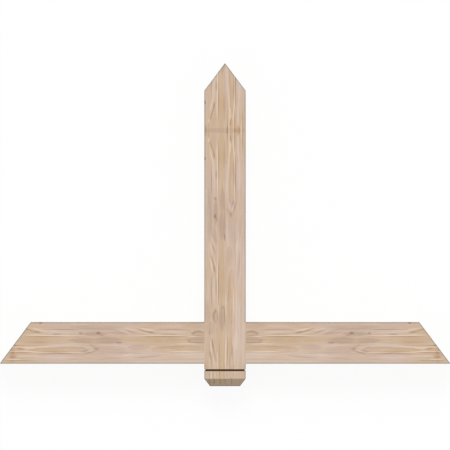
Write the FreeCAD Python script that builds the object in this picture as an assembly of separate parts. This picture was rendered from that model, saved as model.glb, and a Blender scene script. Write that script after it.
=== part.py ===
import FreeCAD, Part
import os
from FreeCAD import Vector

# Timber gable bracket: an upright king post with a level arm butted to each side of it,
# all cut from one size of square timber and flush front and back.
#
# The bracket lies on its back. +X runs along the arms, +Y runs up the post to the peak
# of the gable, and +Z comes out of the front face. The origin is on the back face, where
# the centre line of the post crosses the centre line of the arms. All sizes are in mm.

# Stock
TIMBER_WIDTH = 139.7  # face width of the post and face height of the arms
TIMBER_DEPTH = 139.7  # front to back

# Outline
SPAN = 1524.0  # between the tips of the arms, along their underside
PITCH_RISE = 16.0  # roof pitch that every sloping cut follows,
PITCH_RUN = 12.0  # as rise over run
POST_DROP = 76.2  # how far the post hangs below the arms

# Turned-down foot of the post
FOOT_CHAMFER_HEIGHT = 25.4  # up the post
FOOT_CHAMFER_INSET = 19.05  # in from each of its four sides
GROOVE_HEIGHT = 54.0  # from the foot's end up to the middle of the groove
GROOVE_WIDTH = 7.0  # across the mouth of the V
GROOVE_DEPTH = 7.0  # from the face to the bottom of the V

# Edges
ARRIS_EASING = 1.5  # broken edge round the front and back faces

# Stub tenons on the arms, and the mortises that take them
TENON_LENGTH = 32.0
TENON_HEIGHT = 89.0  # along the post
TENON_THICKNESS = 38.0  # front to back
CHEEK_CLEARANCE = 0.4  # all round a tenon
MORTISE_END_CLEARANCE = 2.0  # past the end of a tenon

# Places that follow from the sizes above
pitch = PITCH_RISE / PITCH_RUN
half_width = TIMBER_WIDTH / 2
half_span = SPAN / 2
arm_bottom_y = -half_width
arm_top_y = half_width
peak_y = arm_bottom_y + half_span * pitch
shoulder_y = peak_y - half_width * pitch
foot_y = arm_bottom_y - POST_DROP
groove_y = foot_y + GROOVE_HEIGHT
middle_z = TIMBER_DEPTH / 2


def prism(outline):
    """A solid of the full timber depth over an outline of (x, y) corners."""
    corners = [Vector(x, y, 0) for x, y in outline]
    wire = Part.makePolygon(corners + corners[:1])
    return Part.Face(wire).extrude(Vector(0, 0, TIMBER_DEPTH))


def bar(corners, run):
    """A solid swept from a flat outline of 3-D corners along the vector run."""
    wire = Part.makePolygon(corners + corners[:1])
    return Part.Face(wire).extrude(run)


def block(x0, x1, y0, y1, z0, z1):
    return Part.makeBox(x1 - x0, y1 - y0, z1 - z0, Vector(x0, y0, z0))


def one_solid(shape):
    """The single solid that a boolean result holds."""
    (solid,) = shape.removeSplitter().Solids
    return solid


def bracket_body():
    """The three timbers as one body, with the edges of its front and back eased.

    The edges are broken after assembly, so the easing follows the outer outline and
    leaves the joints between the post and the arms tight and flush.
    """
    post = prism(
        [
            (-half_width, foot_y),
            (half_width, foot_y),
            (half_width, shoulder_y),
            (0, peak_y),
            (-half_width, shoulder_y),
        ]
    )
    arm_top_x = half_span - TIMBER_WIDTH / pitch
    arms = [
        prism(
            [
                (side * half_span, arm_bottom_y),
                (side * half_width, arm_bottom_y),
                (side * half_width, arm_top_y),
                (side * arm_top_x, arm_top_y),
            ]
        )
        for side in (-1, 1)
    ]
    body = one_solid(post.fuse(arms))
    outline = [
        edge
        for edge in body.Edges
        if all(abs(v.Z) < 1e-6 for v in edge.Vertexes)
        or all(abs(v.Z - TIMBER_DEPTH) < 1e-6 for v in edge.Vertexes)
    ]
    return body.makeChamfer(ARRIS_EASING, outline)


def tenon(side, clearance=0.0, end_clearance=0.0):
    """Stub tenon of one arm, or the room for it when clearances are given."""
    root = side * half_width
    tip = side * (half_width - TENON_LENGTH - end_clearance)
    reach_y = TENON_HEIGHT / 2 + clearance
    reach_z = TENON_THICKNESS / 2 + clearance
    return block(
        min(root, tip), max(root, tip), -reach_y, reach_y, middle_z - reach_z, middle_z + reach_z
    )


def v_groove():
    """Four V-shaped bars that run round the post and meet in mitred corners."""
    over = GROOVE_DEPTH  # how far each bar stands out past its face
    mouth = GROOVE_WIDTH / 2 * (GROOVE_DEPTH + over) / GROOVE_DEPTH

    reach = half_width + over
    across = Vector(2 * reach, 0, 0)
    through = Vector(0, 0, TIMBER_DEPTH + 2 * over)
    bars = []
    for face_z, out in ((0, -1), (TIMBER_DEPTH, 1)):
        bars.append(
            bar(
                [
                    Vector(-reach, groove_y, face_z - out * GROOVE_DEPTH),
                    Vector(-reach, groove_y - mouth, face_z + out * over),
                    Vector(-reach, groove_y + mouth, face_z + out * over),
                ],
                across,
            )
        )
    for side in (-1, 1):
        bars.append(
            bar(
                [
                    Vector(side * (half_width - GROOVE_DEPTH), groove_y, -over),
                    Vector(side * (half_width + over), groove_y - mouth, -over),
                    Vector(side * (half_width + over), groove_y + mouth, -over),
                ],
                through,
            )
        )
    return bars


def foot_chamfers():
    """Four wedges that take the edges off the post's lower end."""
    over = FOOT_CHAMFER_HEIGHT  # how far each wedge stands out past the post
    slope = FOOT_CHAMFER_INSET / FOOT_CHAMFER_HEIGHT
    low_y = foot_y - over
    high_y = foot_y + FOOT_CHAMFER_HEIGHT + over
    inner = FOOT_CHAMFER_INSET + over * slope
    outer = over * slope

    reach = half_width + outer
    wedges = []
    for face_z, out in ((0, -1), (TIMBER_DEPTH, 1)):
        wedges.append(
            bar(
                [
                    Vector(-reach, low_y, face_z - out * inner),
                    Vector(-reach, high_y, face_z + out * outer),
                    Vector(-reach, low_y, face_z + out * outer),
                ],
                Vector(2 * reach, 0, 0),
            )
        )
    for side in (-1, 1):
        wedges.append(
            bar(
                [
                    Vector(side * (half_width - inner), low_y, -outer),
                    Vector(side * (half_width + outer), high_y, -outer),
                    Vector(side * (half_width + outer), low_y, -outer),
                ],
                Vector(0, 0, TIMBER_DEPTH + 2 * outer),
            )
        )
    return wedges


body = bracket_body()
beyond = 10.0  # how far the dividing blocks reach past the body
post_room = block(
    -half_width, half_width, foot_y - beyond, peak_y + beyond, -beyond, TIMBER_DEPTH + beyond
)

mortises = [tenon(side, CHEEK_CLEARANCE, MORTISE_END_CLEARANCE) for side in (-1, 1)]
king_post = one_solid(body.common(post_room).cut(mortises + v_groove() + foot_chamfers()))


def tie_arm(side):
    """One arm, from its sloping end to the tip of its tenon inside the post."""
    ends = sorted((side * half_width, side * (half_span + beyond)))
    arm_room = block(
        *ends, arm_bottom_y - beyond, arm_top_y + beyond, -beyond, TIMBER_DEPTH + beyond
    )
    return one_solid(body.common(arm_room).fuse(tenon(side)))


pieces = {
    "king_post": king_post,
    "tie_arm_left": tie_arm(-1),
    "tie_arm_right": tie_arm(1),
}

os.makedirs("parts", exist_ok=True)
for name, shape in pieces.items():
    if not shape.isValid():
        raise ValueError(name + " is not a valid solid")
    shape.exportStep("parts/" + name + ".step")
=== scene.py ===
"""Looks of the timber gable bracket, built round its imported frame.

The bracket lies on its back: X runs along the arms, Y up the post and Z out of the front
face. Sizes are in metres.
"""

import math

import bmesh
import bpy
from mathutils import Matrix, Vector


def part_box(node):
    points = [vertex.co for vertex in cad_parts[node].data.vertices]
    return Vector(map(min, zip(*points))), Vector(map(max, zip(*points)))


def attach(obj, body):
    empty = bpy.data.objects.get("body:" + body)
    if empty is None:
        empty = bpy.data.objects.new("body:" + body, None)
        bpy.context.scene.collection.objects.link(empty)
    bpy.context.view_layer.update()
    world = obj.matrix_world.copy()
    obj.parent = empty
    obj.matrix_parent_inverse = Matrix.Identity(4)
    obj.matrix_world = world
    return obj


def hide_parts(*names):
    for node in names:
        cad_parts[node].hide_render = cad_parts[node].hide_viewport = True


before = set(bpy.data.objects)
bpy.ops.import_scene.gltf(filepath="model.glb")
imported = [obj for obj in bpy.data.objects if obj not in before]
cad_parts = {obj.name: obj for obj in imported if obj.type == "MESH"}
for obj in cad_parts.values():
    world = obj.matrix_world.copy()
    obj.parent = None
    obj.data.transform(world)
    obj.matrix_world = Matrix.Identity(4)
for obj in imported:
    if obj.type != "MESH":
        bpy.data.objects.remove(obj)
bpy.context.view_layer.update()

# ---------------------------------------------------------------- sizes of the bracket
post_low, post_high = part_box("king_post")
arm_low, arm_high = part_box("tie_arm_right")
HALF_WIDTH = post_high.x
DEPTH = post_high.z
FOOT_Y = post_low.y
PEAK_Y = post_high.y
ARM_Y = arm_high.y
HALF_SPAN = arm_high.x
TENON_TIP_X = arm_low.x

PITCH_ANGLE = math.atan2(16, 12)  # of the roof, and of every sloping cut
ARRIS = 0.0015  # radius of the eased long edges
SAWN_ARRIS = 0.0005  # of the edges left by the cross-cut saw
FOOT_CHAMFER_HEIGHT = 0.0254
FOOT_CHAMFER_INSET = 0.01905
GROOVE_Y = FOOT_Y + 0.054  # the middle of the groove
GROOVE_WIDTH = 0.007
GROOVE_DEPTH = 0.007
TENON_HEIGHT = 0.089
TENON_THICKNESS = 0.038
CHEEK_CLEARANCE = 0.0004
MORTISE_END_CLEARANCE = 0.002

MIDDLE_Z = DEPTH / 2
CORNER_REACH = 0.004  # how far a corner's mitred easing goes
SAW_ALLOWANCE = 0.01  # extra length that the sloping cuts take off
CHIP_HALF_LENGTH = 0.006
CHIP_HALF_WIDTH = 0.0022
SMOOTH_BELOW = math.radians(35)  # edges that turn by less than this are shaded round
NEAR = 1e-5  # how close two places count as the same

# The figure of the wood is laid out in millimetres.
MM = 1000
CHIP_ALONG = 624  # mm out from the centre line, or up the post, to the chip in the arris
MIRROR_ALONG = 718.5  # mm up the post; past this its figure turns back on itself


# ------------------------------------------------------------------- shaping a timber
def start_timber(name, low, high):
    """A squared baulk between two corners, opened for shaping."""
    bpy.ops.object.select_all(action="DESELECT")
    low, high = Vector(low), Vector(high)
    bpy.ops.mesh.primitive_cube_add(size=1, location=(low + high) / 2, scale=high - low)
    timber = bpy.context.object
    timber.name = timber.data.name = name
    bpy.ops.object.transform_apply(location=True, rotation=False, scale=True)
    bpy.ops.object.mode_set(mode="EDIT")
    return timber


def mark_line(point, normal):
    """Marks a line round everything that is selected, without cutting it through."""
    bpy.ops.mesh.bisect(plane_co=point, plane_no=normal, threshold=NEAR)


def saw_off(point, outward):
    """Saws off what lies beyond a plane and closes the cut."""
    bpy.ops.mesh.select_all(action="SELECT")
    bpy.ops.mesh.bisect(
        plane_co=point, plane_no=outward, use_fill=True, clear_outer=True, threshold=NEAR
    )


def choose(timber, kind, wanted):
    """Selects just the corners, edges or faces that the test accepts."""
    bpy.ops.mesh.select_mode(type=kind)
    bpy.ops.mesh.select_all(action="DESELECT")
    mesh = bmesh.from_edit_mesh(timber.data)
    items = {"VERT": mesh.verts, "EDGE": mesh.edges, "FACE": mesh.faces}[kind]
    for item in filter(wanted, items):
        item.select_set(True)
    mesh.select_flush_mode()
    bmesh.update_edit_mesh(timber.data)


def ends(edge):
    """Where an edge starts and ends."""
    return edge.verts[0].co, edge.verts[1].co


def on_outline(edge):
    """Whether an edge is on the outline of the front or the back face."""
    a, b = ends(edge)
    level = [all(abs(p.z - z) < NEAR for p in (a, b)) for z in (0, DEPTH)]
    tops = sum(abs(face.normal.z) > 0.99 for face in edge.link_faces)
    return any(level) and tops == 1


def round_over(size, steps):
    """Rounds the selected edges over."""
    bpy.ops.mesh.bevel(offset=size, segments=steps, profile=0.5, affect="EDGES", clamp_overlap=True)


def take_off_corner(timber, corner):
    """Eases the edge that runs from front to back at one corner of the outline."""

    def on_corner(edge):
        return all(math.dist(p.xy, corner) < CORNER_REACH for p in ends(edge))

    choose(timber, "EDGE", on_corner)
    round_over(SAWN_ARRIS, 2)


def take_off_ring(timber, y):
    """Eases a line of edges that runs round the post at one height."""
    choose(timber, "EDGE", lambda edge: all(abs(p.y - y) < NEAR for p in ends(edge)))
    round_over(SAWN_ARRIS, 2)


def knock_chip(timber, spot, turn):
    """Knocks a small scoop out of the front arris; turn is how far the arris is from level."""
    bpy.ops.object.select_all(action="DESELECT")
    bpy.ops.mesh.primitive_ico_sphere_add(
        subdivisions=2,
        radius=1,
        location=spot,
        rotation=(0, 0, turn),
        scale=(CHIP_HALF_LENGTH, CHIP_HALF_WIDTH, CHIP_HALF_WIDTH),
    )
    scoop = bpy.context.object
    cut = timber.modifiers.new("chip", "BOOLEAN")
    cut.operation = "DIFFERENCE"
    cut.solver = "EXACT"
    cut.object = scoop
    bpy.context.view_layer.objects.active = timber
    bpy.ops.object.modifier_apply(modifier=cut.name)
    bpy.data.objects.remove(scoop)


def finish_timber(timber):
    """Closes a timber's shape, with the broad faces shaded flat up to their arrises."""
    bpy.ops.object.select_all(action="DESELECT")
    timber.select_set(True)
    bpy.context.view_layer.objects.active = timber
    bpy.ops.object.mode_set(mode="EDIT")
    bpy.ops.mesh.select_all(action="SELECT")
    bpy.ops.mesh.remove_doubles(threshold=1e-6)
    bpy.ops.mesh.normals_make_consistent(inside=False)
    bpy.ops.object.mode_set(mode="OBJECT")
    bpy.ops.object.shade_smooth_by_angle(angle=SMOOTH_BELOW)
    steady = timber.modifiers.new("steady", "WEIGHTED_NORMAL")
    steady.keep_sharp = True
    steady.weight = 100
    bpy.ops.object.modifier_apply(modifier=steady.name)
    return timber


def outward_of_cut(side):
    """Direction that the sloping cuts of one side face."""
    return Vector((side * math.sin(PITCH_ANGLE), math.cos(PITCH_ANGLE), 0))


def mark_tenon(timber, face_x, clearance):
    """Marks a tenon's outline on the face of a timber at face_x, and selects what is inside it."""
    reach_y = TENON_HEIGHT / 2 + clearance
    reach_z = TENON_THICKNESS / 2 + clearance

    def butting(face):
        spot = face.calc_center_median()
        return abs(spot.x - face_x) < NEAR and abs(spot.y) < ARM_Y

    for side in (-1, 1):
        choose(timber, "FACE", butting)
        mark_line((0, side * reach_y, 0), (0, 1, 0))
        choose(timber, "FACE", butting)
        mark_line((0, 0, MIDDLE_Z + side * reach_z), (0, 0, 1))

    def inside(face):
        spot = face.calc_center_median()
        return butting(face) and abs(spot.y) < reach_y and abs(spot.z - MIDDLE_Z) < reach_z

    choose(timber, "FACE", inside)


def make_king_post():
    post = start_timber(
        "king_post_timber",
        (-HALF_WIDTH, FOOT_Y, 0),
        (HALF_WIDTH, PEAK_Y + SAW_ALLOWANCE, DEPTH),
    )
    for side in (-1, 1):
        saw_off((0, PEAK_Y, 0), outward_of_cut(side))

    # The arms' place is marked, so that the easing stops where they butt.
    for y in (-ARM_Y, ARM_Y):
        bpy.ops.mesh.select_all(action="SELECT")
        mark_line((0, y, 0), (0, 1, 0))

    def eased(edge):
        middle = (edge.verts[0].co + edge.verts[1].co) / 2
        behind_arm = abs(middle.y) < ARM_Y and abs(abs(middle.x) - HALF_WIDTH) < NEAR
        return on_outline(edge) and not behind_arm and middle.y > FOOT_Y + NEAR

    choose(post, "EDGE", eased)
    round_over(ARRIS, 3)

    # Groove: three lines round the post, the middle one sunk to make the V. A fourth line
    # round the post is the top of the foot's chamfers.
    groove_low = GROOVE_Y - GROOVE_WIDTH / 2
    groove_high = GROOVE_Y + GROOVE_WIDTH / 2
    chamfer_top = FOOT_Y + FOOT_CHAMFER_HEIGHT
    for y in (groove_low, GROOVE_Y, groove_high, chamfer_top):
        bpy.ops.mesh.select_all(action="SELECT")
        mark_line((0, y, 0), (0, 1, 0))

    def draw_in(y, inset):
        choose(post, "VERT", lambda corner: abs(corner.co.y - y) < NEAR)
        bpy.ops.transform.resize(
            value=((HALF_WIDTH - inset) / HALF_WIDTH, 1, (MIDDLE_Z - inset) / MIDDLE_Z),
            center_override=(0, y, MIDDLE_Z),
        )

    draw_in(GROOVE_Y, GROOVE_DEPTH)
    draw_in(FOOT_Y, FOOT_CHAMFER_INSET)
    for y in (groove_low, groove_high, chamfer_top, FOOT_Y):
        take_off_ring(post, y)
    shoulder_y = PEAK_Y - HALF_WIDTH * math.tan(PITCH_ANGLE)
    for corner in ((0, PEAK_Y), (HALF_WIDTH, shoulder_y), (-HALF_WIDTH, shoulder_y)):
        take_off_corner(post, corner)

    # The mortises that take the arms' tenons.
    for side in (-1, 1):
        mark_tenon(post, side * HALF_WIDTH, CHEEK_CLEARANCE)
        depth = HALF_WIDTH - TENON_TIP_X + MORTISE_END_CLEARANCE
        bpy.ops.mesh.extrude_region_move(TRANSFORM_OT_translate={"value": (-side * depth, 0, 0)})
    bpy.ops.object.mode_set(mode="OBJECT")
    for along in (CHIP_ALONG, 2 * MIRROR_ALONG - CHIP_ALONG):
        knock_chip(post, (-HALF_WIDTH, along / MM, DEPTH), math.pi / 2)
    return finish_timber(post)


def make_arm(name, side):
    inner = side * HALF_WIDTH
    outer = side * (HALF_SPAN + SAW_ALLOWANCE)
    arm = start_timber(name, (min(inner, outer), -ARM_Y, 0), (max(inner, outer), ARM_Y, DEPTH))
    saw_off((0, PEAK_Y, 0), outward_of_cut(side))

    def eased(edge):
        a, b = ends(edge)
        at_butt = abs(a.x - inner) < NEAR and abs(b.x - inner) < NEAR
        return on_outline(edge) and not at_butt

    choose(arm, "EDGE", eased)
    round_over(ARRIS, 3)
    for corner_y in (-ARM_Y, ARM_Y):
        corner_x = side * (PEAK_Y - corner_y) / math.tan(PITCH_ANGLE)
        take_off_corner(arm, (corner_x, corner_y))
    mark_tenon(arm, inner, 0)
    depth = HALF_WIDTH - TENON_TIP_X
    bpy.ops.mesh.extrude_region_move(TRANSFORM_OT_translate={"value": (-side * depth, 0, 0)})
    bpy.ops.object.mode_set(mode="OBJECT")
    knock_chip(arm, (side * CHIP_ALONG / MM, ARM_Y, DEPTH), 0)
    return finish_timber(arm)


post = make_king_post()
arm_right = make_arm("right_arm_timber", 1)
arm_left = make_arm("left_arm_timber", -1)

for timber, node in (
    (post, "king_post"),
    (arm_left, "tie_arm_left"),
    (arm_right, "tie_arm_right"),
):
    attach(timber, "root")
    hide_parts(node)

# --------------------------------------------------------------- the figure of the board
# All three timbers show one board's figure: the arms are book-matched, and the post has the
# right arm's figure turned up. On the board, "along" runs from the bracket's centre line out
# to the tip, "across" up the arm's face, and "deep" goes in from the front face, all in mm.
#
# Each mark is a soft pointed streak in the grain: its name, the middle of it along and
# across, its half length and half width, its slope, its bow and its strength.
TAN_PATCHES = (
    ("long island", 562, -22.5, 92, 10, 0, 0, 1),
    ("island's inner end", 503, -22.5, 32, 9, 0, 0, 0.8),
    ("middle strip at the tip", 640, 10, 90, 15, 0, 0, 0.6),
    ("streaky band", 235, 10.5, 130, 15, 0, 0, 0.6),
    ("widening band", 120, -15, 130, 13, 0.02, 0, 0.75),
    ("inner top", 238, 59, 32, 10, 0, 0, 0.5),
    ("outer top", 600, 55, 60, 9, 0, 0, 0.55),
    ("between the diagonals", 285, 36, 36, 6, 0.25, 0, 0.6),
    ("outer end", 674, 36, 32, 17, 0, 0, 0.55),
    ("bottom edge at the tip", 690, -61, 74, 7, 0, 0, 0.8),
    ("arch at the foot", -40, -15, 68, 10, 0, 0, 0.8),
    ("strip at the foot", -50, 11, 95, 13, 0, 0, 0.6),
    ("over the foot's strip", 15, 28, 50, 8, 0, 0, 0.5),
    ("low edge over the foot", -80, -52, 24, 8, 0, 0, 0.6),
    ("arch's wide end", -84, -19, 18, 10, 0, 0, 0.7),
)
ORANGE_PATCHES = (
    ("loop at the tip", 705, -22, 36, 9, 0, 0, 1),
    ("low at the tip", 716, -41, 22, 13, 0, 0, 1),
    ("outer glow of the strip", 625, 9, 38, 12, 0, 0, 0.55),
    ("inner glow of the strip", 228, 9, 24, 12, 0, 0, 0.55),
    ("core of the widening band", 170, -19, 28, 7, 0.03, 0, 0.9),
    ("tail of the core", 212, -14, 36, 9, 0, 0, 0.6),
    ("upper loop at the turn", 718, 55, 32, 7, 0, 0, 0.9),
    ("core of the foot's arch", -5, -15, 32, 6, 0, 0, 0.6),
    ("bottom edge's end", 725, -62, 26, 6, 0, 0, 0.5),
    ("glow across the turn", 718.5, -16, 16, 30, 0, 0, 0.7),
    ("edge over the foot", -74, 62, 27, 8, 0, 0, 0.75),
    ("edge of the foot block", -110, -55, 20, 8, 0, 0, 0.3),
    ("warmth of the outer end", 640, -22, 110, 28, 0, 0, 0.35),
)
PINK_PATCHES = (
    ("outer upper band", 565, 38, 60, 9, 0, 0, 1),
    ("over the island", 551, -7.5, 85, 6, 0, 0, 0.85),
    ("inner upper band", 182, 38, 60, 8, 0, 0, 1),
    ("outer top edge", 430, 60, 80, 9, 0, 0, 0.5),
    ("inner top edge", 176, 59, 42, 10, 0, 0, 0.3),
    ("outer lower field", 560, -48, 70, 13, 0, 0, 0.8),
    ("lower field at the post", 64, -43, 140, 18, 0, 0, 1),
    ("field of the foot", -5, -40, 75, 20, 0, 0, 1),
    ("edge of the foot's field", 10, -60, 120, 12, 0, 0, 0.8),
    ("inner lower field", 270, -45, 130, 18, 0, 0, 0.8),
    ("lower edge", 180, -62, 190, 8, 0, 0, 0.8),
    ("under the knots", 368, -12, 85, 11, 0.02, 0, 0.7),
    ("nose of the island", 461, -21, 20, 8, 0, 0, 0.9),
    ("beside the tip", 650, -46, 50, 10, 0, 0, 0.6),
    ("edge over the foot", -62, 61, 28, 7, 0, 0, 0.6),
    ("field over the groove", -68, -36, 42, 34, 0, 0, 0.6),
)
GREY_PATCHES = (
    ("middle block", 398, 10.5, 60, 15, 0, 0, 1),
    ("outer block", 480, 10, 56, 13, 0, 0, 0.75),
    ("between the knots", 440, 31, 56, 10, 0, 0, 0.9),
    ("block at the joint", 84, 10.5, 58, 16, 0, 0, 0.85),
    ("shade under the arch", 88, 31, 32, 12, 0, 0, 0.6),
    ("over the knots", 430, 54, 105, 14, 0, 0, 0.6),
    ("lead to the knots", 366, 33, 40, 6, 0.15, 0, 0.8),
    ("small stain", 500, 5, 13, 7, 0, 0, 0.8),
    ("end of the core", 290, -14, 46, 15, 0, 0, 0.4),
    ("top at the joint", 100, 60, 44, 13, 0, 0, 0.4),
    ("low in the field", 262, -47, 62, 7, -0.05, 0, 0.4),
    ("bar across the turn", 718.5, 0, 11, 130, 0, 0, 0.6),
    ("shade under the blocks", 402, -20, 78, 15, 0, 0, 0.55),
    ("low side of the nose", 485, -32, 55, 6, 0, 0, 0.5),
    ("shade over the foot", 50, 46, 28, 28, 0, 0, 0.4),
)
BROWN_STREAKS = (
    ("upper cathedral", 636, 36.5, 20, 3.6, 0.15, 0, 0.85),
    ("cathedral's shoulder", 664, 45, 28, 3, 0.3, -2, 0.8),
    ("inner streak", 253, 36.5, 18, 4.6, 0.08, 0, 0.75),
    ("tail of the inner streak", 279, 43, 28, 3, 0.3, 0, 0.8),
    ("streak in the tip's loop", 690, -18.5, 20, 3, 0.12, 0, 0.9),
    ("arch at the joint", 90, 39.5, 30, 5, 0, -11, 0.75),
    ("foot of the arch", 108, 32.5, 9, 4.5, 0, 0, 0.7),
    ("line in the arch", 93, 25, 24, 1.8, 0, 0, 0.6),
    ("outer seam", 612, 21.3, 92, 2.3, 0, 0, 0.95),
    ("inner seam", 205, 21.3, 95, 2.3, 0, 0, 1),
    ("island's lower edge", 562, -36, 95, 2.4, 0, 0, 0.95),
    ("island's lower rim", 578, -29.3, 80, 2, 0, 0, 0.6),
    ("island's upper edge", 565, -16.6, 90, 2, 0, 0, 0.6),
    ("nose, upper side", 478, -17, 15, 2.6, 0.4, 0, 0.7),
    ("nose, lower side", 472, -26, 17, 3.2, -0.2, 0, 0.8),
    ("outer arrow, upper side", 446, -10, 17, 3, 0.55, 0, 0.6),
    ("outer arrow's point", 434, -20, 11, 7, 0, 0, 0.6),
    ("outer arrow, lower side", 455, -32, 28, 2.8, -0.25, 0, 0.8),
    ("edge of the middle block", 359, 1.5, 18, 3.4, 0, 0, 1),
    ("foot of the strip", 432, 1.2, 92, 2.3, 0, 0, 0.6),
    ("line under the top", 548, 45.5, 64, 2.1, 0, 0, 0.95),
    ("line over the inner band", 182, 45.5, 64, 2.2, 0, 0, 0.75),
    ("line under the inner band", 190, 30, 38, 2.6, 0, 0, 0.7),
    ("line over the knots", 430, 47.5, 80, 1.9, 0, 0, 0.5),
    ("inner diagonal", 318, 38.5, 24, 2.8, 0.28, 0, 0.7),
    ("outer diagonal", 350, 36, 28, 2.8, 0.25, 0, 0.55),
    ("far diagonal", 375, 45, 32, 2, 0.13, -2, 0.5),
    ("upper spot", 568, 29.8, 22, 2.8, 0, 0, 0.8),
    ("low line at the joint", 95, 1.2, 40, 2.4, 0, 0, 0.8),
    ("upper line of the widening band", 92, -13.5, 44, 1.7, 0, 0, 0.45),
    ("lower line of the widening band", 98, -21.5, 44, 1.7, 0, 0, 0.45),
    ("line over the core", 165, -12, 40, 1.9, 0, 0, 0.5),
    ("inner low line", 255, -46, 52, 1.8, -0.1, 0, 0.35),
    ("far low line", 395, -54, 50, 1.6, -0.06, 0, 0.4),
    ("line at the tip", 690, -32.6, 46, 2.5, 0, 0, 0.85),
    ("bottom line at the tip", 700, -59.5, 62, 2.3, 0, 0, 0.7),
    ("line under the dark of the strip", 640, 1.5, 70, 1.9, 0, 0, 0.5),
    ("sweep over the foot", -8, 41.5, 33, 3.2, 0.145, -2.5, 1),
    ("sweep at the foot", -44, 48.5, 26, 3, 0.18, 0, 0.9),
    ("low sweep at the foot", -45, 33, 24, 2.6, 0.2, 0, 0.6),
    ("sweep at the groove", -72, 45.5, 22, 2, 0, 0, 0.6),
    ("arch's near side", -30, -8.3, 62, 2.1, 0, 0, 0.7),
    ("arch's far side", -20, -23.5, 60, 2, 0.06, 0, 0.55),
    ("high line of the foot's strip", -40, 18.5, 66, 1.9, 0, 0, 0.6),
    ("knot-like spot over the foot", 36, 52, 12, 3, 0, 0, 0.6),
    ("dark of the turn", 718, -8, 22, 3.6, 0, 0, 1),
    ("line through the turn", 716, -8, 62, 2, 0, 0, 0.55),
    ("low dark of the turn", 718, -32.5, 12, 4.8, 0, 0, 0.9),
    ("outer dark of the turn", 718, -48, 17, 4.8, 0, 0, 0.7),
    ("outer line of the turn", 705, -31.5, 66, 2, 0, 0, 0.6),
    ("top of the turn", 718, 65, 22, 5, 0, 0, 0.6),
    ("pin knot", 120, 6.5, 8, 6, 0, 0, 0.5),
    ("outer line of the foot block", -107, 52.5, 16, 2.2, 0, 0, 0.7),
    ("line of the foot block", -108, 41, 16, 2.2, 0, 0, 0.75),
    ("second line of the foot block", -108, 29, 16, 1.8, 0, 0, 0.35),
    ("middle line of the foot block", -108, -6.5, 16, 1.8, 0, 0, 0.5),
    ("strip's edge by the groove", -100, 3, 40, 2, 0, 0, 0.5),
    ("strip's far edge by the groove", -98, 18.8, 34, 2.2, 0, 0, 0.6),
    ("dark line over the groove", -80, -28, 15, 2.2, 0, 0, 0.6),
    ("dark edge of the foot's end", -131, 52, 13, 4.5, 0, 0, 0.8),
    ("upper dark of the foot's end", -130, 37, 14, 4.5, 0, 0, 0.8),
    ("middle dark of the foot's end", -130, 16, 14, 3.5, 0, 0, 0.6),
    ("second dark of the foot's end", -130, -1, 14, 3.2, 0, 0, 0.6),
    ("low dark of the foot's end", -130, -22, 14, 3.2, 0, 0, 0.7),
)
PALE_STREAKS = (
    ("outer seam", 578, 25.3, 112, 2.6, 0, 0, 1),
    ("inner seam", 225, 25.2, 122, 2.4, 0, 0, 0.95),
    ("seam at the joint", 106, 22, 28, 1.9, 0, 0, 0.7),
    ("over the tip's loop", 612, -13.7, 72, 3.2, 0, 0, 1),
    ("end over the tip's loop", 664, -16.5, 34, 3.2, 0, 0, 0.9),
    ("under the tip's loop", 650, -29.7, 82, 2.7, 0.035, 0, 1),
    ("under the island", 512, -32.8, 44, 2.1, 0, 0, 0.9),
    ("under the widening band", 138, -29.3, 64, 2.7, 0, 0, 1),
    ("over the widening band", 126, -2.8, 54, 2.5, 0, 0, 0.9),
    ("over the inner streak", 262, 45, 40, 3, 0.2, 0, 0.9),
    ("under the inner streak", 270, 33, 38, 3, 0.22, 0, 0.6),
    ("inner diagonal", 318, 45, 32, 2.5, 0.25, 0, 0.6),
    ("outer diagonal", 352, 41.5, 30, 2, 0.2, 0, 0.5),
    ("over the cathedral", 628, 44, 32, 2.8, 0.22, 0, 0.9),
    ("under the cathedral", 650, 28, 42, 2.4, 0.03, 0, 0.6),
    ("under the outer block", 510, -3, 55, 2, 0, 0, 0.45),
    ("middle of the foot", -30, -2.6, 78, 2.8, 0, 0, 0.95),
    ("over the sweep", -14, 47, 28, 2.8, 0.14, 0, 0.9),
    ("over the low sweep", -64, 38, 28, 3.2, 0.1, 0, 0.8),
    ("under the low sweep", -60, 25.5, 36, 2.2, 0, 0, 0.7),
    ("white of the foot", 12, -38, 44, 8, 0, 0, 0.4),
    ("line in the inner field", 330, -40, 26, 2.1, -0.15, 0, 0.8),
    ("line in the low field", 135, -39, 44, 2, 0, 0, 0.6),
    ("low line at the tip", 712, -56, 34, 2.7, 0, 0, 0.9),
    ("middle line at the tip", 660, -43, 40, 2.2, 0, 0, 0.5),
    ("inner pale of the turn", 705, -12.6, 60, 2.3, 0, 0, 0.8),
    ("outer pale of the turn", 705, -28.3, 60, 2.3, 0, 0, 0.8),
    ("low pale of the turn", 684, -43, 30, 3.4, 0, 0, 0.5),
    ("end of the upper loop", 686, 55.5, 9, 4, 0, 0, 0.7),
    ("pale line of the foot block", -108, 47, 15, 2.2, 0, 0, 0.7),
    ("second pale line of the foot block", -108, 35, 15, 2, 0, 0, 0.5),
)
KNOTS = (
    ("large knot", 428, 33.5, 10.5, 7, 0, 0, 0.85),
    ("tail of the large knot", 417, 26, 12, 3.2, 0.2, 0, 0.5),
    ("small knot", 488, 33, 9, 5.5, 0, 0, 0.55),
)
# Dirt in the chips: where it is, as above.
FLECKS = (
    ("chip in the arris", CHIP_ALONG, 69, 8, 6, 0, 0, 0.6),
)

# Growth rings run round the heart of the tree, which is inside the timber.
PITH_ACROSS = -22
PITH_DEEP = 45
RING_WIDTH = 2.6
# Swellings that bend the rings. Of the trunk: the middle along, the spread and the lift.
TRUNK_SWELLINGS = ((552, 90, -2.4), (790, 75, -3.0), (60, 150, -3.7), (-110, 80, -3.0))
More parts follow.
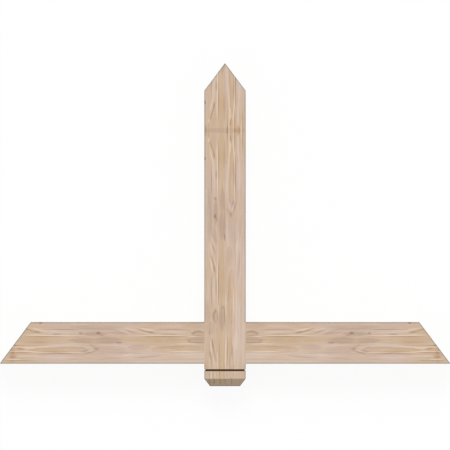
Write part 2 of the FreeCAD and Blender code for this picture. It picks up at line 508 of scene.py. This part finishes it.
# Of the knots: the middle along and across, the spread along and across, and the lift.
KNOT_SWELLINGS = (
    (451, 34, 190, 12, -5.5),
    (428, 34.5, 16, 8, 5.0),
    (488, 34.5, 12, 6, 4.0),
    (119, 8, 10, 5, 3.0),
)

# Colours of the wood, which the marks take on in part.
ROSY_WOOD = (0.613, 0.462, 0.384)
TAWNY_WOOD = (0.603, 0.448, 0.312)
PALE_YEAR = (0.71, 0.545, 0.425)
LATE_WOOD = (0.38, 0.25, 0.16)
TAN_STRIP = (0.628, 0.456, 0.300)
STRIP_LOW_EDGE = (-0.2, 1.4)  # mm across, from where it starts to where it is full
STRIP_HIGH_EDGE = (20.5, 22.5)  # mm across, from where it is full to where it ends
STRIP_HOLD = 0.7
LATE_HOLD = 0.58
PATCHES = (
    (PINK_PATCHES, (0.685, 0.542, 0.460)),
    (TAN_PATCHES, (0.585, 0.42, 0.262)),
    (ORANGE_PATCHES, (0.605, 0.395, 0.235)),
    (GREY_PATCHES, (0.465, 0.335, 0.262)),
)
PATCH_HOLD = 0.75
STREAKS = (
    (PALE_STREAKS, (0.80, 0.64, 0.495), 0.75),
    (BROWN_STREAKS, (0.34, 0.21, 0.122), 0.72),
    (KNOTS, (0.31, 0.185, 0.155), 0.85),
)
DIRT = (0.075, 0.055, 0.048)
# Painted shade for the groove's V, standing in for the shadow inside it.
GROOVE_PAINTED_SHADE = (0.105, 0.058, 0.028)

# What darkens the wood in places, as a share of its colour.
# Painted shade along the arrises, with a ragged inner edge.
ARRIS_SHADE_TINT = (0.56, 0.63, 0.68)
ARRIS_REACH = 2.9  # mm in from the arris
ARRIS_RAGGED = 2.4  # mm further in, at the most, where the painted shade is ragged
# Darker towards the foot's end.
FOOT_RIM_TINT = (0.45, 0.47, 0.50)
FOOT_RIM = 4.5  # mm up from the foot's end
# Darkening of the sawn ends and chamfers: partly end grain, partly painted shade.
END_GRAIN_AND_SHADE_TINT = (0.715, 0.72, 0.69)
GROOVE_SHADE_RISE = 0.15  # mm from the groove's middle up to the middle of its painted shade
GROOVE_SHADE_STARTS = 0.2  # mm in from the groove's mouths
GROOVE_SHADE_FULL = 0.5


class Bench:
    """Lays out one shader tree or group, step by step."""

    def __init__(self, tree):
        self.tree = tree

    def node(self, kind, **settings):
        made = self.tree.nodes.new(kind)
        for name, value in settings.items():
            setattr(made, name, value)
        return made

    def feed(self, socket, value):
        """A value is another node's output, or a plain number or colour."""
        if isinstance(value, bpy.types.NodeSocket):
            self.tree.links.new(value, socket)
        elif isinstance(value, tuple) and len(value) == 3 and len(socket.default_value) == 4:
            socket.default_value = (*value, 1)
        else:
            socket.default_value = value

    def maths(self, operation, *values, clamp=False):
        made = self.node("ShaderNodeMath", operation=operation, use_clamp=clamp)
        for socket, value in zip(made.inputs, values):
            self.feed(socket, value)
        return made.outputs[0]

    def place(self, along, across, deep):
        made = self.node("ShaderNodeCombineXYZ")
        for socket, value in zip(made.inputs, (along, across, deep)):
            self.feed(socket, value)
        return made.outputs[0]

    def noise(self, along, across, deep, lengths, detail=2.0, roughness=0.5, seed=0.0):
        """Soft clouds from 0 to 1, as long, wide and deep as the lengths say, in mm."""
        made = self.node("ShaderNodeTexNoise", noise_dimensions="3D")
        spots = [
            self.maths("MULTIPLY_ADD", value, 1 / length, seed)
            for value, length in zip((along, across, deep), lengths)
        ]
        self.feed(made.inputs["Vector"], self.place(*spots))
        made.inputs["Scale"].default_value = 1
        made.inputs["Detail"].default_value = detail
        made.inputs["Roughness"].default_value = roughness
        return made.outputs[0]

    def stretch(self, value, low, high, to_low=0.0, to_high=1.0, smooth=False):
        """Stretches low to high out to other ends, and holds it between them."""
        made = self.node("ShaderNodeMapRange", interpolation_type="SMOOTHSTEP" if smooth else "LINEAR")
        self.feed(made.inputs["Value"], value)
        self.feed(made.inputs["From Min"], low)
        self.feed(made.inputs["From Max"], high)
        self.feed(made.inputs["To Min"], to_low)
        self.feed(made.inputs["To Max"], to_high)
        return made.outputs[0]

    def blend(self, amount, under, over, how="MIX"):
        """Lays one colour over another."""
        made = self.node("ShaderNodeMix", data_type="RGBA", blend_type=how)
        self.feed(made.inputs["Factor"], amount)
        colours = [socket for socket in made.inputs if socket.type == "RGBA"]
        self.feed(colours[0], under)
        self.feed(colours[1], over)
        return [socket for socket in made.outputs if socket.type == "RGBA"][0]

    def tint(self, amount, colour, share):
        """Takes a colour down to a share of itself."""
        return self.blend(amount, colour, self.blend(1.0, colour, share, "MULTIPLY"))

    def bell(self, value, centre, spread):
        """How many spreads a value is from the centre, squared."""
        away = self.maths("DIVIDE", self.maths("SUBTRACT", value, centre), spread)
        return self.maths("MULTIPLY", away, away)

    def use(self, group, **values):
        """Adds a group and feeds its inputs, whose names have a space for each underline."""
        made = self.node("ShaderNodeGroup", node_tree=group)
        for name, value in values.items():
            self.feed(made.inputs[name.replace("_", " ")], value)
        return made.outputs


def new_group(name, inputs, outputs):
    """An empty shader group, with its bench, its input sockets and its output node."""
    group = bpy.data.node_groups.new(name, "ShaderNodeTree")
    for names, way in ((inputs, "INPUT"), (outputs, "OUTPUT")):
        for label, kind in names:
            group.interface.new_socket(name=label, in_out=way, socket_type="NodeSocket" + kind)
    bench = Bench(group)
    entry = bench.node("NodeGroupInput")
    leave = bench.node("NodeGroupOutput")
    return group, bench, entry.outputs, leave.inputs


def make_mark_group():
    """One soft streak with pointed ends, as a mask."""
    place = ("Along", "Across")
    shape = ("Middle", "Height", "Half Length", "Half Width", "Slope", "Bow", "Strength")
    group, bench, given, result = new_group(
        "grain_mark", [(name, "Float") for name in place + shape], [("Mask", "Float")]
    )
    ahead = bench.maths("SUBTRACT", given["Along"], given["Middle"])
    run = bench.maths("DIVIDE", ahead, given["Half Length"])
    run_squared = bench.maths("MULTIPLY", run, run)
    centre = bench.maths("MULTIPLY_ADD", ahead, given["Slope"], given["Height"])
    centre = bench.maths("MULTIPLY_ADD", run_squared, given["Bow"], centre)
    aside = bench.maths("SUBTRACT", given["Across"], centre)
    aside = bench.maths("ABSOLUTE", bench.maths("DIVIDE", aside, given["Half Width"]))
    body = bench.maths("SUBTRACT", bench.maths("SUBTRACT", 1.0, run_squared), aside)
    body = bench.maths("MINIMUM", bench.maths("MULTIPLY", body, 1.7), 1.0)
    bench.feed(result["Mask"], bench.maths("MULTIPLY", body, given["Strength"]))
    return group


GRAIN_MARK = make_mark_group()


def draw_marks(bench, along, across, marks):
    """All the marks of one kind as one mask."""
    total = 0.0
    for name, middle, height, half_length, half_width, slope, bow, strength in marks:
        mask = bench.use(
            GRAIN_MARK,
            Along=along,
            Across=across,
            Middle=middle,
            Height=height,
            Half_Length=half_length,
            Half_Width=half_width,
            Slope=slope,
            Bow=bow,
            Strength=strength,
        )
        mask["Mask"].node.label = name
        total = bench.maths("MAXIMUM", total, mask["Mask"])
    return total


def make_figure_group():
    """The board's figure: growth rings, knots, streaks and drifts of colour."""
    group, bench, given, result = new_group(
        "board_figure",
        [("Along", "Float"), ("Across", "Float"), ("Deep", "Float")],
        [("Colour", "Color"), ("Height", "Float"), ("Roughness", "Float")],
    )
    along, across, deep = given["Along"], given["Across"], given["Deep"]

    # Everything wanders a little, as grain does.
    drift = bench.noise(along, across, deep, (150, 30, 30), detail=2, seed=3.1)
    wobble = bench.noise(along, across, deep, (22, 7, 7), detail=1, seed=8.7)
    drift = bench.maths("MULTIPLY_ADD", drift, 5.0, -2.5)
    wobble = bench.maths("MULTIPLY_ADD", wobble, 1.6, -0.8)
    wander = bench.maths("ADD", drift, wobble)
    face_along = bench.maths("MULTIPLY_ADD", wander, 0.4, along)
    face_across = bench.maths("MULTIPLY_ADD", wander, 0.6, across)

    # Growth rings round the heart, bent by swellings of the trunk and by the knots.
    aside = bench.maths("SUBTRACT", across, PITH_ACROSS)
    below = bench.maths("SUBTRACT", deep, PITH_DEEP)
    squared = bench.maths("MULTIPLY_ADD", aside, aside, bench.maths("MULTIPLY", below, below))
    radius = bench.maths("SQRT", squared)
    radius = bench.maths("ADD", radius, bench.maths("MULTIPLY", wander, 0.8))
    for middle, spread, lift in TRUNK_SWELLINGS:
        away = bench.bell(along, middle, spread)
        swell = bench.maths("EXPONENT", bench.maths("MULTIPLY", away, -1.0))
        radius = bench.maths("MULTIPLY_ADD", swell, lift, radius)
    knots_fade = bench.stretch(deep, 0, 70, 1, 0, smooth=True)
    for middle, height, length, width, lift in KNOT_SWELLINGS:
        away = bench.maths("ADD", bench.bell(along, middle, length), bench.bell(across, height, width))
        swell = bench.maths("EXPONENT", bench.maths("MULTIPLY", away, -1.0))
        swell = bench.maths("MULTIPLY", swell, knots_fade)
        radius = bench.maths("MULTIPLY_ADD", swell, lift, radius)

    # Each year ends in a line of late wood, and some years have more of it.
    ring = bench.maths("DIVIDE", radius, RING_WIDTH)
    season = bench.maths("FRACT", ring)
    year = bench.node("ShaderNodeTexWhiteNoise", noise_dimensions="1D")
    bench.feed(year.inputs["W"], bench.maths("FLOOR", ring))
    year_luck = year.outputs["Value"]
    late = bench.maths("POWER", season, 3.0)
    late = bench.maths("MULTIPLY", late, bench.stretch(year_luck, 0, 1, 0.35, 1.0))
    fade = bench.noise(along, across, deep, (90, 14, 14), detail=1, seed=5.3)
    late = bench.maths("MULTIPLY", late, bench.stretch(fade, 0.3, 0.7, 0.35, 1.0))

    # Drifts of colour that follow the rings and run far along the grain.
    warm = bench.noise(along, across, deep, (260, 16, 16), detail=2, roughness=0.6, seed=1.7)
    shade = bench.noise(along, across, deep, (120, 5, 5), detail=3, roughness=0.65, seed=11.2)
    fibre = bench.noise(along, across, deep, (40, 1.1, 1.1), detail=2, roughness=0.6, seed=21.9)
    pores = bench.noise(along, across, deep, (9, 0.55, 0.55), detail=0, seed=31.3)
    pores = bench.stretch(pores, 0.68, 0.8, 0, 1)

    # The wood is tawnier towards both ends of an arm.
    outer = bench.stretch(along, 570, 680, 0, 0.55, smooth=True)
    inner = bench.stretch(along, 350, 220, 0, 0.55, smooth=True)
    warmth = bench.stretch(warm, 0.32, 0.68, 0, 0.5)
    warmth = bench.maths("ADD", warmth, bench.maths("ADD", outer, inner))
    colour = bench.blend(warmth, ROSY_WOOD, TAWNY_WOOD)
    colour = bench.blend(bench.stretch(year_luck, 0, 1, 0, 0.40), colour, PALE_YEAR)

    # A tan strip runs the whole length just above the middle of the face.
    near_face = bench.stretch(deep, 2, 60, 1, 0.25, smooth=True)
    strip_low = bench.stretch(face_across, *STRIP_LOW_EDGE, 0, 1)
    strip_high = bench.stretch(face_across, *STRIP_HIGH_EDGE, 1, 0)
    strip = bench.maths("MULTIPLY", strip_low, strip_high)
    strip = bench.maths("MULTIPLY", bench.maths("MULTIPLY", strip, near_face), STRIP_HOLD)
    colour = bench.blend(strip, colour, TAN_STRIP)
    for marks, tint in PATCHES:
        mask = draw_marks(bench, face_along, face_across, marks)
        mask = bench.maths("MULTIPLY", bench.maths("MULTIPLY", mask, near_face), PATCH_HOLD)
        colour = bench.blend(mask, colour, tint)
    colour = bench.blend(bench.maths("MULTIPLY", late, LATE_HOLD), colour, LATE_WOOD)
    tone = bench.stretch(shade, 0.25, 0.75, 0.91, 1.09)
    tone = bench.maths("MULTIPLY", tone, bench.stretch(fibre, 0.25, 0.75, 0.93, 1.07))
    tone = bench.maths("MULTIPLY", tone, bench.maths("MULTIPLY_ADD", pores, -0.10, 1.0))
    grey = bench.node("ShaderNodeCombineColor")
    for socket in grey.inputs:
        bench.feed(socket, tone)
    colour = bench.blend(1.0, colour, grey.outputs[0], "MULTIPLY")
    for marks, tint, hold in STREAKS:
        mask = draw_marks(bench, face_along, face_across, marks)
        mask = bench.maths("MULTIPLY", bench.maths("MULTIPLY", mask, near_face), hold)
        colour = bench.blend(mask, colour, tint)
    dirt = draw_marks(bench, face_along, face_across, FLECKS)
    dirt = bench.maths("MULTIPLY", dirt, bench.stretch(deep, 5, 8, 0.9, 0))
    colour = bench.blend(dirt, colour, DIRT)

    bench.feed(result["Colour"], colour)
    relief = bench.maths("MULTIPLY_ADD", fibre, 0.5, bench.maths("MULTIPLY", late, 0.6))
    relief = bench.maths("SUBTRACT", relief, bench.maths("MULTIPLY", pores, 0.5))
    bench.feed(result["Height"], relief)
    bench.feed(result["Roughness"], bench.maths("MULTIPLY_ADD", late, -0.12, 0.68))
    return group


BOARD_FIGURE = make_figure_group()


def make_arris_shade_group():
    """Painted shade along the arrises, darkening the wood near each eased edge; distance is how far
    the arris is, in mm.
    """
    group, bench, given, result = new_group(
        "arris_painted_shade",
        [("Colour", "Color"), ("Along", "Float"), ("Across", "Float"), ("Distance", "Float")],
        [("Colour", "Color")],
    )
    ragged = bench.noise(given["Along"], given["Across"], 0.0, (9, 9, 9), detail=2, seed=41.0)
    reach = bench.maths("MULTIPLY_ADD", ragged, ARRIS_RAGGED, ARRIS_REACH)
    edge_shaded = bench.maths("SUBTRACT", 1.0, bench.maths("DIVIDE", given["Distance"], reach), clamp=True)
    edge_shaded = bench.maths("MULTIPLY", edge_shaded, 1.6, clamp=True)
    bench.feed(result["Colour"], bench.tint(edge_shaded, given["Colour"], ARRIS_SHADE_TINT))
    return group


ARRIS_PAINTED_SHADE = make_arris_shade_group()


def measure_from_arris(bench, x, y, z, is_post):
    """How far the nearest arris of the outline is, in mm, also from inside the timber."""
    rise, lean = math.cos(PITCH_ANGLE), math.sin(PITCH_ANGLE)
    from_cut = bench.maths("MULTIPLY", bench.maths("SUBTRACT", PEAK_Y * MM, y), rise)
    from_cut = bench.maths("MULTIPLY_ADD", bench.maths("ABSOLUTE", x), -lean, from_cut)
    from_face = bench.maths("MINIMUM", bench.maths("SUBTRACT", DEPTH * MM, z), z)
    if is_post:
        # The foot's chamfers draw the arris in, and the arms' places have none.
        chamfer_top = (FOOT_Y + FOOT_CHAMFER_HEIGHT) * MM
        inset = bench.stretch(y, FOOT_Y * MM, chamfer_top, FOOT_CHAMFER_INSET * MM, 0)
        from_face = bench.maths("SUBTRACT", from_face, inset)
        from_edge = bench.maths("SUBTRACT", HALF_WIDTH * MM, bench.maths("ABSOLUTE", x))
        from_edge = bench.maths("SUBTRACT", from_edge, inset)
        by_arm = bench.maths("LESS_THAN", bench.maths("ABSOLUTE", y), ARM_Y * MM)
        from_edge = bench.maths("MULTIPLY_ADD", by_arm, HALF_WIDTH * MM, from_edge)
    else:
        from_edge = bench.maths("SUBTRACT", ARM_Y * MM, bench.maths("ABSOLUTE", y))
    from_outline = bench.maths("MINIMUM", from_cut, from_edge)
    return bench.maths("MAXIMUM", from_outline, from_face)


def darken_foot(bench, colour, y):
    """A darker rim at the foot's end, and painted shade in the groove that stands in for the shadow
    inside its V.
    """
    # Darker towards the foot's end, over its last few mm.
    rim = bench.stretch(y, FOOT_Y * MM + FOOT_RIM, FOOT_Y * MM, 0, 1)
    colour = bench.tint(rim, colour, FOOT_RIM_TINT)
    # Painted shade in the groove, full between its mouths.
    away = bench.maths("ABSOLUTE", bench.maths("SUBTRACT", y, GROOVE_Y * MM + GROOVE_SHADE_RISE))
    mouth = GROOVE_WIDTH * MM / 2
    groove_shade = bench.stretch(away, mouth - GROOVE_SHADE_STARTS, mouth - GROOVE_SHADE_FULL, 0, 1)
    return bench.blend(groove_shade, colour, GROOVE_PAINTED_SHADE)


def timber_material(name, is_post):
    """Bare planed timber. The post's board stands up, the arms' boards are book-matched."""
    material = bpy.data.materials.new(name)
    material.use_nodes = True
    bench = Bench(material.node_tree)
    shader = material.node_tree.nodes["Principled BSDF"]
    where = bench.node("ShaderNodeSeparateXYZ")
    bench.feed(where.inputs[0], bench.node("ShaderNodeTexCoord").outputs["Object"])
    x, y, z = (bench.maths("MULTIPLY", where.outputs[axis], MM) for axis in "XYZ")
    deep = bench.maths("SUBTRACT", DEPTH * MM, z)
    if is_post:
        past = bench.maths("MAXIMUM", bench.maths("SUBTRACT", y, MIRROR_ALONG), 0.0)
        along = bench.maths("MULTIPLY_ADD", past, -2.0, y)
        across = bench.maths("MULTIPLY", x, -1.0)
    else:
        along = bench.maths("ABSOLUTE", x)
        across = y
    figure = bench.use(BOARD_FIGURE, Along=along, Across=across, Deep=deep)
    distance = measure_from_arris(bench, x, y, z, is_post)
    # Painted shade along the arrises.
    edge_shaded = bench.use(
        ARRIS_PAINTED_SHADE, Colour=figure["Colour"], Along=along, Across=across, Distance=distance
    )

    # Sawn ends and chamfers are darker: partly end grain, partly painted shade.
    facing = bench.node("ShaderNodeSeparateXYZ")
    bench.feed(facing.inputs[0], bench.node("ShaderNodeNewGeometry").outputs["Normal"])
    end_on = bench.maths("ABSOLUTE", facing.outputs["Y" if is_post else "X"])
    end_grain_and_shade = bench.stretch(end_on, 0.15, 0.6, 0, 1)
    colour = bench.tint(end_grain_and_shade, edge_shaded["Colour"], END_GRAIN_AND_SHADE_TINT)
    if is_post:
        colour = darken_foot(bench, colour, y)
    bench.feed(shader.inputs["Base Color"], colour)
    bench.feed(shader.inputs["Roughness"], figure["Roughness"])
    shader.inputs["Specular IOR Level"].default_value = 0.25
    bump = bench.node("ShaderNodeBump")
    bump.inputs["Strength"].default_value = 0.35
    bump.inputs["Distance"].default_value = 0.0003
    bench.feed(bump.inputs["Height"], figure["Height"])
    bench.feed(shader.inputs["Normal"], bump.outputs[0])
    return material


post.data.materials.append(timber_material("post_timber", True))
arm_wood = timber_material("arm_timber", False)
for arm in (arm_left, arm_right):
    arm.data.materials.append(arm_wood)

# ---------------------------------------------------------------- floor, light, camera
WHITE = (1, 1, 1)
FLOOR_WHITE = (0.98, 0.98, 0.98)
FLOOR_GLOW = 0.92  # share of the floor that is seen as pure white; the rest keeps the shadow
SKY_LIGHTS = 0.60  # level that the white surround lights the object with
SKY_SEEN = 1.0
FLOOR_WIDTH = 60
FLOOR_GAP = 0.0002  # keeps the floor off the bracket's back face
KEY_ENERGY = 1.6
KEY_SPREAD = math.radians(30)
KEY_TILT = math.radians(-38)
CAMERA_DISTANCE = 30.0  # far enough off to show no perspective
SEEN_WIDTH = 1.521
SEEN_MIDDLE_Y = 0.3989


def seen_plainly(bench):
    """1 where a thing is seen, by the camera or in a shine, and 0 where it lights others."""
    path = bench.node("ShaderNodeLightPath")
    return bench.maths("MAXIMUM", path.outputs["Is Camera Ray"], path.outputs["Is Glossy Ray"])


def make_floor():
    """A wide white floor just under the bracket."""
    bpy.ops.object.select_all(action="DESELECT")
    bpy.ops.mesh.primitive_plane_add(size=FLOOR_WIDTH, location=(0, 0, -FLOOR_GAP))
    floor = bpy.context.object
    floor.name = floor.data.name = "studio_floor"
    bpy.ops.object.transform_apply(location=True, rotation=False, scale=True)
    paint = bpy.data.materials.new("floor_paint")
    paint.use_nodes = True
    paint.node_tree.nodes.clear()
    bench = Bench(paint.node_tree)
    matt = bench.node("ShaderNodeBsdfDiffuse")
    bench.feed(matt.inputs["Color"], FLOOR_WHITE)
    glow = bench.node("ShaderNodeEmission")
    bench.feed(glow.inputs["Color"], WHITE)
    mix = bench.node("ShaderNodeMixShader")
    bench.feed(mix.inputs["Fac"], bench.maths("MULTIPLY", seen_plainly(bench), FLOOR_GLOW))
    bench.feed(mix.inputs[1], matt.outputs[0])
    bench.feed(mix.inputs[2], glow.outputs[0])
    bench.feed(bench.node("ShaderNodeOutputMaterial").inputs["Surface"], mix.outputs[0])
    floor.data.materials.append(paint)


def make_sky():
    """An even white surround: a plain level on the object, pure white where it is seen."""
    world = bpy.data.worlds.new("studio_surround")
    bpy.context.scene.world = world
    world.use_nodes = True
    bench = Bench(world.node_tree)
    back = world.node_tree.nodes["Background"]
    bench.feed(back.inputs["Color"], WHITE)
    level = bench.stretch(seen_plainly(bench), 0, 1, SKY_LIGHTS, SKY_SEEN)
    bench.feed(back.inputs["Strength"], level)


def make_key_light():
    """A broad soft key from above the peak, so that the foot's front chamfer is in shade."""
    key = bpy.data.lights.new("key", "SUN")
    key.energy = KEY_ENERGY
    key.angle = KEY_SPREAD
    lamp = bpy.data.objects.new("key", key)
    lamp.rotation_euler = (KEY_TILT, 0, 0)
    bpy.context.scene.collection.objects.link(lamp)


def make_camera():
    """Looks straight down on the front face from far off, with the peak at the top."""
    camera = bpy.data.cameras.new("camera")
    camera.sensor_width = 36
    camera.lens = camera.sensor_width * CAMERA_DISTANCE / SEEN_WIDTH
    camera.clip_end = 300
    holder = bpy.data.objects.new("camera", camera)
    holder.location = (0, SEEN_MIDDLE_Y, DEPTH + CAMERA_DISTANCE)
    bpy.context.scene.collection.objects.link(holder)
    bpy.context.scene.camera = holder


make_floor()
make_sky()
make_key_light()
make_camera()
bpy.context.scene.view_settings.view_transform = "Standard"
